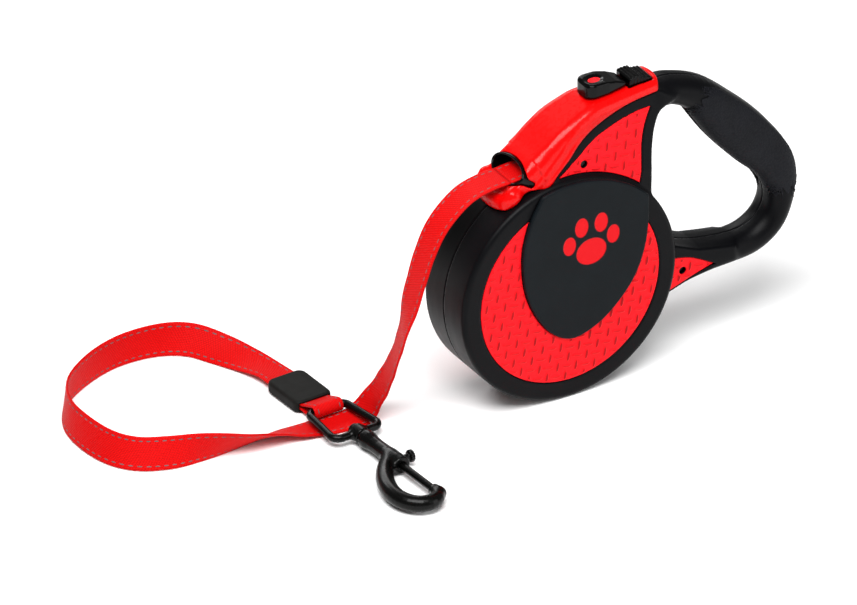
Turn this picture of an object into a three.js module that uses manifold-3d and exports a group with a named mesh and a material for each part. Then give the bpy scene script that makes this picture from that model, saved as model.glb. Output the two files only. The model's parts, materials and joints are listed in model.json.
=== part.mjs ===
// Retractable tape leash: drum housing with a closed hand grip, spring reel, brake, and a
// webbing tape that ends in a swivel snap hook. Millimetres. X runs from the drum towards the
// grip, Y from the front cover to the back cover, Z up. Everything is drawn about the drum's
// centre, and the whole assembly is then shifted so that the origin is inside the hand grip.
import * as THREE from 'three';
import { mergeVertices } from 'three/addons/utils/BufferGeometryUtils.js';
import Module from 'manifold-3d';

// ---- driving dimensions ----
const GAP = 0.3;              // clearance between separate pieces
const WALL = 2.4;             // housing wall
const DRUM_R = 69;            // drum's outer radius
const DRUM_HALF = 21.25;      // half of the drum's depth along Y
const PANEL_R = 57.5;         // round edge of the crescent panels
const PANEL_T = 1.1;          // thickness of the inlaid panels
const CAP_RISE = 2.4;         // how far the egg-shaped covers stand off the drum's faces
const WING_LOW = [60, 19];    // height and half depth of the arch at its foot
const WING_TOP = [105, 12.5]; // the same at its top
const STRUT_HALF = 12.6;      // half depth of the lower strut
const TAPE_W = 19;            // webbing width
const TAPE_T = 1.4;           // webbing thickness
const FLOOR = -DRUM_R;        // height of the surface that the free tape lies on
const SPOOL_R = 54;           // spool flange radius
const TOOTH_R = 58;           // tips of the ratchet teeth
const TEETH = 24;
const HUB_R = 16;             // the tape is wound from here
const ROLL_R = 45;            // outside of the wound tape
const AXLE_R = 4;
const LOCK_TRAVEL = 5;        // the lock slider moves this far towards the mouth
const BOLT_TRAVEL = 10;       // the snap bolt moves this far towards the ring
const PAWL_PIVOT = [18, 87];
const BRAKE_X = [46, 61.5];   // brake button's ends
const CLIP_AT = [-127, 30];   // far bar of the clip ring, on the surface
const CLIP_TURN = 3;          // degrees, the clip's long axis from -Y towards +X
const GRIP_CENTRE = [113, 66.5];

const SIDES = { front: -1, back: 1 };
const span = (side, a, b) => [Math.min(side * a, side * b), Math.max(side * a, side * b)];

// ---- closed solids and booleans ----
const wasm = await Module();
wasm.setup();

function closed(geometry) {
  geometry.deleteAttribute('normal');
  geometry.deleteAttribute('uv');
  const merged = mergeVertices(geometry, 1e-4);
  const at = merged.getAttribute('position');
  const index = merged.getIndex().array;
  const kept = [];
  let volume = 0;
  const [a, b, c] = [new THREE.Vector3(), new THREE.Vector3(), new THREE.Vector3()];
  for (let i = 0; i < index.length; i += 3) {
    const [p, q, r] = [index[i], index[i + 1], index[i + 2]];
    if (p === q || q === r || r === p) continue;
    a.fromBufferAttribute(at, p);
    b.fromBufferAttribute(at, q);
    c.fromBufferAttribute(at, r);
    volume += a.dot(b.cross(c));
    kept.push(p, q, r);
  }
  if (volume < 0) kept.reverse();
  merged.setIndex(kept);
  return merged;
}

function solid(geometry) {
  const shell = closed(geometry);
  return new wasm.Manifold(new wasm.Mesh({
    numProp: 3,
    vertProperties: new Float32Array(shell.getAttribute('position').array),
    triVerts: new Uint32Array(shell.getIndex().array),
  }));
}

function fromSolid(shape) {
  const mesh = shape.getMesh();
  const geometry = new THREE.BufferGeometry();
  geometry.setAttribute('position', new THREE.BufferAttribute(mesh.vertProperties, 3));
  geometry.setIndex(new THREE.BufferAttribute(mesh.triVerts, 1));
  return geometry;
}

const joined = (...solids) => solids.reduce((whole, piece) => whole.add(piece));
const cut = (whole, ...pieces) => pieces.reduce((rest, piece) => rest.subtract(piece), whole);

// ---- shape helpers ----
const polar = (radius, degrees) => [
  radius * Math.cos(THREE.MathUtils.degToRad(degrees)),
  radius * Math.sin(THREE.MathUtils.degToRad(degrees)),
];

function arc(radius, from, to, steps) {
  return Array.from({ length: steps + 1 }, (_, i) => polar(radius, from + (to - from) * i / steps));
}

function spline(points, steps) {
  const curve = new THREE.SplineCurve(points.map(([x, z]) => new THREE.Vector2(x, z)));
  return curve.getPoints(steps).map((p) => [p.x, p.y]);
}

const shapeOf = (points) => new THREE.Shape(points.map(([x, z]) => new THREE.Vector2(x, z)));

// an outline in XZ, extruded from y0 to y1
function plate(points, y0, y1) {
  const geometry = new THREE.ExtrudeGeometry(shapeOf(points), { depth: y1 - y0, bevelEnabled: false });
  geometry.rotateX(Math.PI / 2);
  geometry.translate(0, y1, 0);
  return geometry;
}

// a profile of [radius, y] turned about the Y axis at (x, z)
function turned(profile, segments = 40, x = 0, z = 0) {
  const ring = profile.map(([radius, y]) => new THREE.Vector2(radius, y));
  const onAxis = profile[0][0] === 0 && profile[profile.length - 1][0] === 0;
  if (!onAxis) ring.push(ring[0].clone());
  return new THREE.LatheGeometry(ring, segments).translate(x, 0, z);
}

function rod(radius, y0, y1, x, z, segments = 20) {
  return turned([[0, y0], [radius, y0], [radius, y1], [0, y1]], segments, x, z);
}

function block([x0, x1], [y0, y1], [z0, z1]) {
  return new THREE.BoxGeometry(x1 - x0, y1 - y0, z1 - z0)
    .translate((x0 + x1) / 2, (y0 + y1) / 2, (z0 + z1) / 2);
}

// a bar of the given section whose point (u, v) at the share t of its length goes to place(u, v, t)
function sweep(section, steps, place) {
  const geometry = new THREE.ExtrudeGeometry(section, { depth: 1, steps, bevelEnabled: false });
  const at = geometry.getAttribute('position');
  for (let i = 0; i < at.count; i += 1) {
    const point = place(at.getX(i), at.getY(i), at.getZ(i));
    at.setXYZ(i, point.x, point.y, point.z);
  }
  return geometry;
}

const circle = (radius, sides) => shapeOf(arc(radius, 0, 360 * (1 - 1 / sides), sides - 1));
const rectangle = (w, h) => shapeOf([[-w / 2, -h / 2], [w / 2, -h / 2], [w / 2, h / 2], [-w / 2, h / 2]]);

// a round bar along a curve, its section turned about the fixed direction `side`
function bar(curve, radius, sides, steps, side) {
  return sweep(circle(radius, sides), steps, (u, v, t) => {
    const tangent = curve.getTangent(t);
    const across = side.clone().addScaledVector(tangent, -side.dot(tangent)).normalize();
    const normal = tangent.clone().cross(across);
    return curve.getPoint(t).addScaledVector(across, u).addScaledVector(normal, v);
  });
}

function coil(radius, wire, turns, height, sides = 5, perTurn = 10) {
  return sweep(circle(wire / 2, sides), turns * perTurn, (u, v, t) => {
    const angle = 2 * Math.PI * turns * t;
    const reach = radius + u;
    const rise = wire / 2 + (height - wire) * t + v;
    return new THREE.Vector3(reach * Math.cos(angle), -reach * Math.sin(angle), rise);
  });
}

// ---- outlines, as [x, z] about the drum's centre ----
const DRUM_PROFILE = [[0, -DRUM_HALF], [65.5, -DRUM_HALF], [68, -20], [DRUM_R, -17.4]];
const RIB_LINE = [[-12.4, 66.4], [-5.7, 73.6], [1.4, 80.6], [10.1, 89.2], [20.7, 95.2], [33.7, 99.6],
  [46.7, 102.2], [63, 103.5]];
const RIDGE_LINE = [[-24, 80.5], [-17, 85], [-11, 89.5], [-4, 94.8], [2, 98.6], [10, 102.4],
  [20, 106], [34, 107.2], [48, 108.3], [63, 109.4]];
const COVER_BASE = [[-41, 57.8], [-31, 63.3], [-22, 66.9], ...RIB_LINE];
const WING = [[30, 30], [52, 38], [54.3, 48], [54.6, 62], [56, 74], [58.5, 84], [63, 92], [72, 97],
  ...[...RIB_LINE].reverse(), [-14, 50]];
const STRUT = [[55, 6], [58, -26], [62.5, -30.3], [80, -24.6], [99, -20.5], [112, -19], [112, -11],
  [90, -6.5], [75, 0]];
const UPPER_PANEL = [...arc(70.2, 94, 49, 10), [47.4, 62], [48.6, 76], [51.5, 87], [56, 96.4],
  [45, 95.4], [31, 91.8], [18.5, 86.6], [8, 79]];
const STRUT_PANEL = [...arc(70, -24, -5, 5), [84, -9.6], [98.5, -17.4], [84, -21.6]];
const CAP = [...arc(67.8, 43, 106, 10),
  ...spline([[-19.6, 64.2], [-27, 50], [-31.6, 29], [-28.6, 3], [-17, -19.5], [-2, -30.5], [13, -28],
    [27, -19], [40, -4], [47, 13], [49.5, 30], [49.8, 45]], 22).slice(0, -1)];
const HANDLE_LINE = [[66, 96.6], [77, 95.4], [93, 87.2], [110, 69], [127.2, 50], [141.3, 32.5], [146.5, 13],
  [141.3, -4.6], [127, -14.8], [106, -16.4], [84, -13.8], [62, -9.5]];

const wingHalf = (z) => THREE.MathUtils.mapLinear(
  Math.max(z, WING_LOW[0]), WING_LOW[0], WING_TOP[0], WING_LOW[1], WING_TOP[1],
);

// an outline on the arch's slanted face: side is -1 in front, depths are inwards from that face
function onWing(points, side, outer, inner) {
  const geometry = plate(points, 0, 1);
  const at = geometry.getAttribute('position');
  for (let i = 0; i < at.count; i += 1) {
    const depth = at.getY(i) > 0.5 ? outer : inner;
    at.setY(i, side * (wingHalf(at.getZ(i)) - depth));
  }
  return geometry;
}

// points moved inwards along the outline's own normals
function inset(points, distance) {
  const turn = THREE.ShapeUtils.isClockWise(points.map(([x, z]) => new THREE.Vector2(x, z))) ? -1 : 1;
  return points.map(([x, z], i) => {
    const [px, pz] = points[(i + points.length - 1) % points.length];
    const [nx, nz] = points[(i + 1) % points.length];
    const before = new THREE.Vector2(x - px, z - pz).normalize();
    const after = new THREE.Vector2(nx - x, nz - z).normalize();
    const along = before.add(after).normalize();
    return [x - turn * distance * along.y, z + turn * distance * along.x];
  });
}

// ---- handle: an oval bar round the hand opening ----
const handleCurve = new THREE.CatmullRomCurve3(HANDLE_LINE.map(([x, z]) => new THREE.Vector3(x, 0, z)));
const GRIP_SPAN = [0.1, 0.56];   // stretch of the handle that the soft grips cover

// half width in the handle's plane, fuller in the middle of the grip
function handleHalf(t) {
  const swell = Math.sin(Math.PI * THREE.MathUtils.clamp((t - 0.04) / 0.56, 0, 1));
  return 8.1 + 6 * swell ** 1.5;
}

function handleBar(grow, from = 0, to = 1, steps = 16) {
  return sweep(circle(1, 12), steps, (u, v, share) => {
    const t = from + (to - from) * share;
    const tangent = handleCurve.getTangentAt(t);
    const across = new THREE.Vector3(-tangent.z, 0, tangent.x);
    const half = handleHalf(t) + grow;
    return handleCurve.getPointAt(t).addScaledVector(across, u * half)
      .add(new THREE.Vector3(0, -v * (12.4 + grow), 0));
  });
}

// ---- top cover: a hood along the arch, from the tape mouth to the grip ----
const coverBase = new THREE.CatmullRomCurve3(COVER_BASE.map(([x, z]) => new THREE.Vector3(x, 0, z)));
const coverRidge = new THREE.CatmullRomCurve3(RIDGE_LINE.map(([x, z]) => new THREE.Vector3(x, 0, z)));
const COVER_HALF = new THREE.SplineCurve([[0, 16.5], [0.14, 16.8], [0.3, 18.6], [0.42, 18.4], [0.6, 15.8],
  [0.8, 13.6], [1, 12.5]].map(([t, half]) => new THREE.Vector2(t, half)));

// a point at the share t of a curve's length, straight on past its ends
function along(curve, t) {
  const inside = THREE.MathUtils.clamp(t, 0, 1);
  const past = (t - inside) * curve.getLength();
  return curve.getPointAt(inside).addScaledVector(curve.getTangentAt(inside), past);
}

function coverPoint(u, v, t) {
  const base = along(coverBase, t);
  const ridge = along(coverRidge, t);
  const half = COVER_HALF.getPoint(THREE.MathUtils.clamp(t, 0, 1)).y;
  return base.lerp(ridge, v).add(new THREE.Vector3(0, -u * half, 0));
}

const HOOD_OUT = [[-1, 0], [-1, 0.45], [-0.88, 0.78], [-0.6, 0.97], [-0.3, 1], [0.3, 1], [0.6, 0.97],
  [0.88, 0.78], [1, 0.45], [1, 0]];
const HOOD_IN = [[0.86, 0], [0.86, 0.42], [0.76, 0.68], [0.52, 0.83], [-0.52, 0.83], [-0.76, 0.68],
  [-0.86, 0.42], [-0.86, 0]];
const hood = (points, steps, from = 0, to = 1) => sweep(shapeOf(points), steps,
  (u, v, share) => coverPoint(u, v, from + (to - from) * share));
const grown = (points, by) => points.map(([u, v]) => [u * (1 + by), v * (1 + by) - by]);

// ---- materials ----
const finish = (color, roughness, metalness = 0) => ({ color, roughness, metalness });
const FINISH = {
  blackPlastic: finish(0x25272b, 0.55),
  glossBlack: finish(0x0c0c0c, 0.15),
  softGrip: finish(0x2a2d33, 0.8),
  redPanel: finish(0xf52f3a, 0.6),
  redGloss: finish(0xd8151b, 0.2),
  webbing: finish(0xdc1214, 0.75),
  rubber: finish(0x20201e, 0.7),
  blackSteel: finish(0x141412, 0.3, 0.8),
  steel: finish(0xb4b6ba, 0.3, 1),
  acetal: finish(0xd8d6cf, 0.4),
};

const leash = new THREE.Group();
leash.position.set(-GRIP_CENTRE[0], 0, -GRIP_CENTRE[1]);
const clip = new THREE.Group();
clip.position.set(CLIP_AT[0], CLIP_AT[1], FLOOR);
clip.rotation.z = THREE.MathUtils.degToRad(CLIP_TURN);
leash.add(clip);

function put(name, shape, look, group = leash) {
  const geometry = shape.isBufferGeometry ? closed(shape) : fromSolid(shape);
  const mesh = new THREE.Mesh(geometry, new THREE.MeshStandardMaterial(look));
  mesh.name = name;
  group.add(mesh);
}

// ---- housing halves, and the screws that hold them together ----
// side: where the head is; head: the depth of its outer face
const SCREWS = {
  wing: { at: [11.4, 73.9], side: SIDES.front, head: 14.4 },
  strut: { at: [78.4, -16.4], side: SIDES.front, head: 9.2 },
  drum_left: { at: polar(62.8, 205), side: SIDES.back, head: 17.6 },
  drum_low: { at: polar(62.8, 292), side: SIDES.back, head: 17.6 },
  grip_rear: { at: [143, 4], side: SIDES.back, head: 8 },
};
const BUTTON_WELL = block([22, 66], [-9.8, 9.8], [88, 112]);
const TAPE_WAY = block([-30, 3], [-11, 11], [55, 80]);
const SPRING_SEAT = block([50, 61], [0, 13], [89.6, 92.4]);

function housingBody(shrink) {
  const depth = DRUM_HALF - shrink;
  const profile = DRUM_PROFILE.map(([r, y]) => [Math.max(r - shrink, 0), Math.max(y, -depth)]);
  const drum = turned([...profile, ...[...profile].reverse().map(([r, y]) => [r, -y])], 48);
  const wing = plate(inset(WING, shrink), -1, 1);
  const at = wing.getAttribute('position');
  for (let i = 0; i < at.count; i += 1) at.setY(i, at.getY(i) * (wingHalf(at.getZ(i)) - shrink));
  const strut = plate(inset(STRUT, shrink), shrink - STRUT_HALF, STRUT_HALF - shrink);
  return joined(solid(drum), solid(wing), solid(strut), solid(handleBar(-shrink)));
}

function housing(sideName) {
  const side = SIDES[sideName];
  const half = solid(block([-100, 200], span(side, GAP / 2, 60), [-100, 200]));
  const columns = Object.values(SCREWS).map(({ at }) => solid(rod(3.4, ...span(side, 0, 24), ...at, 8)));
  const axleBoss = solid(rod(7.2, ...span(side, 12.2, 20), 0, 0, 16));
  const pawlBoss = solid(rod(3.6, ...span(side, 11.6, 18), ...PAWL_PIVOT, 8));
  const outer = housingBody(0);
  let shell = cut(outer, housingBody(WALL));
  shell = joined(shell, ...columns.map((c) => c.intersect(outer)), axleBoss);
  if (side < 0) shell = joined(shell, pawlBoss.intersect(outer));
  else shell = joined(shell, solid(SPRING_SEAT).intersect(outer));
  shell = shell.intersect(half);
  const pocket = span(side, DRUM_HALF - PANEL_T - GAP, DRUM_HALF + 1);
  const round = plate(arc(PANEL_R + GAP, 0, 352.5, 47), ...pocket);
  const capLand = plate(inset(CAP, 0.4), ...span(side, 0, 40));
  const recesses = [
    cut(solid(round), solid(capLand)),
    solid(onWing(inset(UPPER_PANEL, -GAP), side, -2, PANEL_T + GAP)),
    solid(plate(inset(STRUT_PANEL, -GAP), ...span(side, STRUT_HALF - PANEL_T - GAP, STRUT_HALF + 2))),
    solid(hood(grown(HOOD_OUT, 0.04), 12)),
    solid(BUTTON_WELL),
    solid(TAPE_WAY),
    solid(rod(AXLE_R + GAP, -18.2, 18.2, 0, 0, 16)),
  ];
  if (side < 0) recesses.push(solid(rod(2, -13.2, 0, ...PAWL_PIVOT, 8)));
  Object.values(SCREWS).forEach((screw) => {
    recesses.push(solid(rod(1.6, ...span(screw.side, screw.head + 1, -8), ...screw.at, 8)));
    recesses.push(solid(rod(2.5, ...span(screw.side, 30, screw.head - 1.9), ...screw.at, 10)));
  });
  return cut(shell, ...recesses).decompose().sort((a, b) => b.volume() - a.volume())[0];
}

Object.keys(SIDES).forEach((name) => put(`${name}_shell`, housing(name), FINISH.blackPlastic));

// ---- covers and panels, in front and behind ----
Object.entries(SIDES).forEach(([name, side]) => {
  const holes = ['wing', 'strut'].map(
    (key) => solid(rod(2.2, ...span(side, 5, 30), ...SCREWS[key].at, 12)),
  );
  const cap = plate(CAP, ...span(side, DRUM_HALF + GAP, DRUM_HALF + CAP_RISE));
  put(`${name}_cover`, cap, FINISH.blackPlastic);
  const round = plate(arc(PANEL_R, 0, 352.5, 47), ...span(side, DRUM_HALF - PANEL_T, DRUM_HALF));
  const away = plate(inset(CAP, -0.1), ...span(side, 0, 40));
  put(`${name}_crescent_panel`, cut(solid(round), solid(away)), FINISH.redPanel);
  put(`${name}_upper_panel`, cut(solid(onWing(UPPER_PANEL, side, 0, PANEL_T)), holes[0]), FINISH.redPanel);
  const strutPanel = plate(STRUT_PANEL, ...span(side, STRUT_HALF - PANEL_T, STRUT_HALF));
  put(`${name}_strut_panel`, cut(solid(strutPanel), holes[1]), FINISH.redPanel);
  const gripOuter = solid(handleBar(1.6, ...GRIP_SPAN, 10));
  const gripInner = solid(handleBar(GAP));
  const sideSpace = solid(block([0, 200], span(side, 2.2, 40), [-60, 160]));
  const hoodSpace = solid(hood(grown(HOOD_OUT, 0.06), 12));
  put(`${name}_grip`, cut(gripOuter, gripInner, hoodSpace).intersect(sideSpace), FINISH.softGrip);
});

// ---- top cover and tape mouth ----
function topCover() {
  const floor = hood([[-0.95, 0.02], [0.95, 0.02], [0.95, 0.15], [-0.95, 0.15]], 3, 0, 0.12);
  const lockSlot = block([30 - LOCK_TRAVEL - 0.5, 36.5], [-4, 4], [100, 115]);
  const brakeWell = block([BRAKE_X[0] - 0.5, BRAKE_X[1] + 0.5], [-7.9, 7.9], [98, 115]);
  const shell = joined(solid(hood([...HOOD_OUT, ...HOOD_IN], 16)), solid(floor));
  return cut(shell, solid(lockSlot), solid(brakeWell));
}
put('top_cover', topCover(), FINISH.redGloss);

function mouthGuide() {
  const outer = [[-0.8, 0.2], [0.8, 0.2], [0.8, 0.42], [0.72, 0.65], [0.5, 0.79], [-0.5, 0.79],
    [-0.72, 0.65], [-0.8, 0.42]];
  const hole = [[-0.71, 0.27], [0.71, 0.27], [0.71, 0.45], [0.63, 0.62], [0.42, 0.71], [-0.42, 0.71],
    [-0.63, 0.62], [-0.71, 0.45]];
  return cut(solid(hood(outer, 3, 0.005, 0.13)), solid(hood(hole, 5, -0.02, 0.16)));
}
put('mouth_guide', mouthGuide(), FINISH.blackPlastic);

// ---- lock slider and brake button ----
const MARK_AT = [28.6, 114.8];
function lockSlider() {
  const body = plate([[19.8, 107.1], [20, 113.6], [21.6, 115.2], [28.5, 115.3], [37, 113.6], [44, 111.4],
    [45, 110.6], [45, 108.9]], -7.3, 7.3);
  const stem = block([30, 36], [-3.4, 3.4], [103.5, 109]);
  const foot = block([28.4, 37.6], [-5.4, 5.4], [102.2, 103.8]);
  const pocket = markDisc(GAP);
  return cut(joined(solid(body), solid(stem), solid(foot)), pocket);
}

function markDisc(grow) {
  const disc = new THREE.CylinderGeometry(1, 1, 2.2 + grow, 20);
  disc.rotateX(Math.PI / 2);
  disc.scale(4.6 + grow, 3.4 + grow, 1);
  disc.translate(MARK_AT[0] - 1.6, 0, MARK_AT[1] - grow / 2 - 0.4);
  return solid(disc);
}
put('lock_slider', lockSlider(), FINISH.glossBlack);
put('lock_mark', markDisc(0), FINISH.redPanel);

function brakeButton() {
  const [x0, x1] = BRAKE_X;
  const body = plate([[x0, 105.4], [x0, 112.8], [x0 + 1.4, 114], [x0 + 6.6, 114.4], [x0 + 8.4, 113.2],
    [x1 - 1.6, 112.6], [x1, 111.6], [x1, 105.4]], -7.4, 7.4);
  const flange = block([x0 - 1.2, x1 + 0.8], [-9.2, 9.2], [104.6, 105.6]);
  const leg = block([x0 + 1, x0 + 6], [-9.2, -5.6], [98, 105]);
  return joined(solid(body), solid(flange), solid(leg));
}
put('brake_button', brakeButton(), FINISH.glossBlack);
put('button_spring', coil(3, 0.8, 4, 11.8).translate(55.5, 5, 92.6), FINISH.steel);

// ---- brake pawl on its pin ----
function pawl() {
  const [x, z] = PAWL_PIVOT;
  const arm = plate([[x, z + 3.6], [x - 3.6, z], [x, z - 3.6], [x + 9, z - 4], [x + 13.4, 53.4],
    [x + 15.4, 53.8], [x + 14.4, z + 1], [51.5, 93.4], [51.5, 97.4], [47, 97.4]], -11.2, -8.6);
  return cut(solid(arm), solid(rod(1.9, -14, -5, x, z, 12)));
}
put('brake_pawl', pawl(), FINISH.steel);
put('pawl_pin', rod(1.6, -12.9, -7.2, ...PAWL_PIVOT, 12), FINISH.steel);

// ---- reel: axle, spool with ratchet teeth, far flange with the spring's cup, spring, lid ----
function spool() {
  const bore = AXLE_R + GAP;
  const profile = [[bore, -11.3], [SPOOL_R, -11.3], [SPOOL_R, -9.8], [HUB_R, -9.8], [HUB_R, 9.4],
    [bore, 9.4]];
  const tooth = (i) => {
    const at = 360 * i / TEETH;
    const points = [polar(SPOOL_R - 1, at), polar(TOOTH_R, at + 1), polar(SPOOL_R - 1, at + 11)];
    return solid(plate(points, -11.3, -9.8));
  };
  return joined(solid(turned(profile, 40)), ...Array.from({ length: TEETH }, (_, i) => tooth(i)));
}
put('spool', spool(), FINISH.acetal);
put('spool_flange', turned([[9, 9.8], [SPOOL_R, 9.8], [SPOOL_R, 11.2], [42, 11.2], [42, 16.8], [40.4, 16.8],
  [40.4, 11.2], [9, 11.2]], 32), FINISH.acetal);
put('spring_lid', turned([[9, 17.1], [42, 17.1], [42, 18.1], [9, 18.1]], 32), FINISH.acetal);
put('axle', rod(AXLE_R, -17.8, 17.8, 0, 0, 16), FINISH.steel);
put('wound_tape', turned([[HUB_R + GAP, -TAPE_W / 2], [ROLL_R, -TAPE_W / 2], [ROLL_R, TAPE_W / 2],
  [HUB_R + GAP, TAPE_W / 2]], 32), FINISH.webbing);

function powerSpring() {
  const turns = 6;
  return sweep(rectangle(0.9, 4.6), turns * 14, (u, v, t) => {
    const angle = 2 * Math.PI * turns * t;
    const reach = THREE.MathUtils.lerp(10.5, 39.4, t) + u;
    return new THREE.Vector3(reach * Math.cos(angle), 14.1 + v, reach * Math.sin(angle));
  });
}
put('power_spring', powerSpring(), FINISH.steel);

// ---- housing screws ----
Object.entries(SCREWS).forEach(([name, { at, side, head }]) => {
  const profile = [[0, head], [1.9, head], [1.9, head - 1.5], [1.2, head - 1.5], [1.2, -7], [0, -7]];
  put(`screw_${name}`, turned(profile.map(([r, y]) => [r, side * y]), 8, ...at), FINISH.steel);
});

// ---- webbing tape ----
const UP = new THREE.Vector3(0, 0, 1);

// rows of x, y, z and lean: the lean, in degrees, is from standing on edge towards lying flat,
// and it is counted outwards from the loop
function strip(rows, steps, width = TAPE_W, thickness = TAPE_T) {
  const line = new THREE.CatmullRomCurve3(rows.map(([x, y, z]) => new THREE.Vector3(x, y, z)));
  const leans = new THREE.SplineCurve(rows.map((row) => new THREE.Vector2(row[3], 0)));
  return sweep(rectangle(width, thickness), steps, (u, v, t) => {
    const tangent = line.getTangent(t);
    const out = UP.clone().cross(tangent).normalize();
    const over = tangent.clone().cross(out);
    const lean = THREE.MathUtils.degToRad(leans.getPoint(t).x);
    const edge = over.multiplyScalar(Math.cos(lean)).addScaledVector(out, Math.sin(lean));
    const face = tangent.clone().cross(edge);
    return line.getPoint(t).addScaledVector(edge, u).addScaledVector(face, v);
  });
}

const LEAD_ROUTE = [[28.6, 0, 38.6, 90], [18, 0, 46.6, 90], [4, 0, 57.8, 90], [-8, 0, 66.6, 90],
  [-19, 0, 71.8, 90], [-31, 0, 71.2, 90]];
put('tape_lead', strip(LEAD_ROUTE, 12), FINISH.webbing);

const TAPE_ROUTE = [
  [-31.4, 0, 71.2, 90], [-43, 0, 70.4, 90], [-55, 0, 67.2, 90], [-65.5, 0, 60, 90],
  [-74.5, 0, 50, 90], [-81.5, 0, 36, 90], [-87, 0.3, 19, 94], [-91.8, 1.4, 0, 102],
  [-95, 4, -18, 116], [-97.8, 8, -34, 126], [-100.8, 12.6, -47, 130], [-104.6, 17, -58, 122],
  [-109.6, 19.2, -65.6, 106], [-115.5, 19.4, -67.9, 96], [-124, 19.8, -68.25, 91], [-135, 20.6, -68.2, 88],
  [-147, 21.8, -67.5, 80],
  [-158, 22.8, -66.2, 70], [-171, 21.8, -64.2, 56], [-184, 20.6, -62, 42], [-197, 21.5, -60.4, 24],
  [-211, 24, -59.6, 4], [-228, 28.5, -59.8, -18], [-243.5, 37, -60.2, -26], [-253, 51, -60.2, -26],
  [-257, 72, -59.8, -22], [-255, 94, -59.5, -12], [-243, 114, -59.4, -4], [-221, 129, -59.4, 2],
  [-197, 137, -59.4, 6], [-173, 136.5, -59.6, 14], [-156, 129, -60.4, 30], [-144.6, 115, -62.8, 52],
  [-135.4, 99, -65, 76], [-131, 85, -65.2, 90], [-129.6, 75, -65.2, 90], [-128.7, 62, -65.2, 90],
];
put('tape', strip(TAPE_ROUTE, 84), FINISH.webbing);

// ---- clip: sewn fold, sleeve, ring, swivel pin, hook, bolt; drawn with its long axis on -Y ----
const RING_Z = 5.9;            // height of the ring's bars over the surface
const RING_R = 2.3;            // bar radius
const RING_HALF = [12.2, 15];  // half distance between the side bars, at the far and the near end
const RING_LENGTH = 32;
const SLEEVE = [10, 42];       // along Y, from the ring's far bar
const KNOB_Y = -69;            // the bolt's thumb knob
const STUD_R = 2;

function foldedEnd() {
  const reach = RING_R + GAP + 0.1 + TAPE_T / 2;
  const round = [90, 45, 0, -45, -90].map((a) => polar(reach, a)).map(([s, c]) => [-s, RING_Z + c]);
  const rows = [[31, 4.8], [20, 4.8], [12, 5.1], [6, 7.1], ...round, [5, 2.4], [11.5, 2.6], [20, 2.6],
    [31, 2.6]];
  const line = new THREE.CatmullRomCurve3(rows.map(([y, z]) => new THREE.Vector3(0, y, z)));
  return sweep(rectangle(TAPE_W, TAPE_T), 32, (u, v, t) => {
    const tangent = line.getTangent(t);
    return line.getPoint(t).add(new THREE.Vector3(u, -v * tangent.z, v * tangent.y));
  });
}
put('tape_fold', foldedEnd(), FINISH.webbing, clip);

function sleeve() {
  const hole = solid(block([-9.9, 9.9], [SLEEVE[0] - 2, SLEEVE[1] + 2], [1, 6.4]));
  const corners = [[-12, 1.6], [-10.6, 0.2], [10.6, 0.2], [12, 1.6], [12, 6.2], [10.6, 7.6],
    [-10.6, 7.6], [-12, 6.2]];
  return cut(solid(plate(corners, ...SLEEVE)), hole);
}
put('sleeve', sleeve(), FINISH.rubber, clip);

function clipRing() {
  const [far, near] = RING_HALF;
  const corners = [[-far, 0], [far, 0], [near, 5 - RING_LENGTH], [near - 5, -RING_LENGTH],
    [5 - near, -RING_LENGTH], [-near, 5 - RING_LENGTH]];
  const bars = corners.map(([x, y], i) => {
    const [nx, ny] = corners[(i + 1) % corners.length];
    const line = new THREE.LineCurve3(new THREE.Vector3(x, y, RING_Z), new THREE.Vector3(nx, ny, RING_Z));
    return solid(bar(line, RING_R, 8, 1, UP));
  });
  const knuckle = new THREE.SphereGeometry(RING_R, 8, 6);
  const knuckles = corners.map(([x, y]) => solid(knuckle.clone().translate(x, y, RING_Z)));
  const boss = solid(rod(4.6, -37.5, -30, 0, RING_Z, 12));
  const bore = solid(rod(2.5, -40, -20, 0, RING_Z, 12));
  return cut(joined(...bars, ...knuckles, boss), bore);
}
put('clip_ring', clipRing(), FINISH.blackSteel, clip);

put('swivel_pin', turned([[0, -44], [2.1, -44], [2.1, -29.6], [3.5, -29.6], [3.5, -27.8], [2.4, -27],
  [0, -27]], 14, 0, RING_Z), FINISH.blackSteel, clip);

const HOOK_LINE = [[-0.5, -64], [-5.5, -68.5], [-11, -74.5], [-16, -82], [-19.8, -91], [-21.4, -100],
  [-20, -108.2], [-15.8, -114], [-9.6, -116.4], [-4, -114.8], [-0.4, -111]];
function hook() {
  const shank = turned([[0, -37.9], [4.6, -37.9], [5.2, -40], [5.2, -45], [4.6, -50], [4.8, -60],
    [5.4, -73], [4.6, -75], [0, -75]], 14, 0, RING_Z);
  const bowl = new THREE.CatmullRomCurve3(HOOK_LINE.map(([x, y]) => new THREE.Vector3(x, y, RING_Z)));
  const tip = rod(3.6, -113.4, -105.4, 0, RING_Z, 12);
  const pinBore = solid(rod(2.5, -44.4, -30, 0, RING_Z, 10));
  const boltBore = solid(rod(2.6, -90, -50.6, 0, RING_Z, 12));
  const slot = solid(block([0, 8], [KNOB_Y - STUD_R - 1.2, KNOB_Y + BOLT_TRAVEL + STUD_R + 3],
    [RING_Z - 2.5, RING_Z + 2.5]));
  const metal = joined(solid(shank), solid(bar(bowl, 5, 10, 20, UP)), solid(tip));
  return cut(metal, pinBore, boltBore, slot);
}
put('hook', hook(), FINISH.blackSteel, clip);

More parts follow.
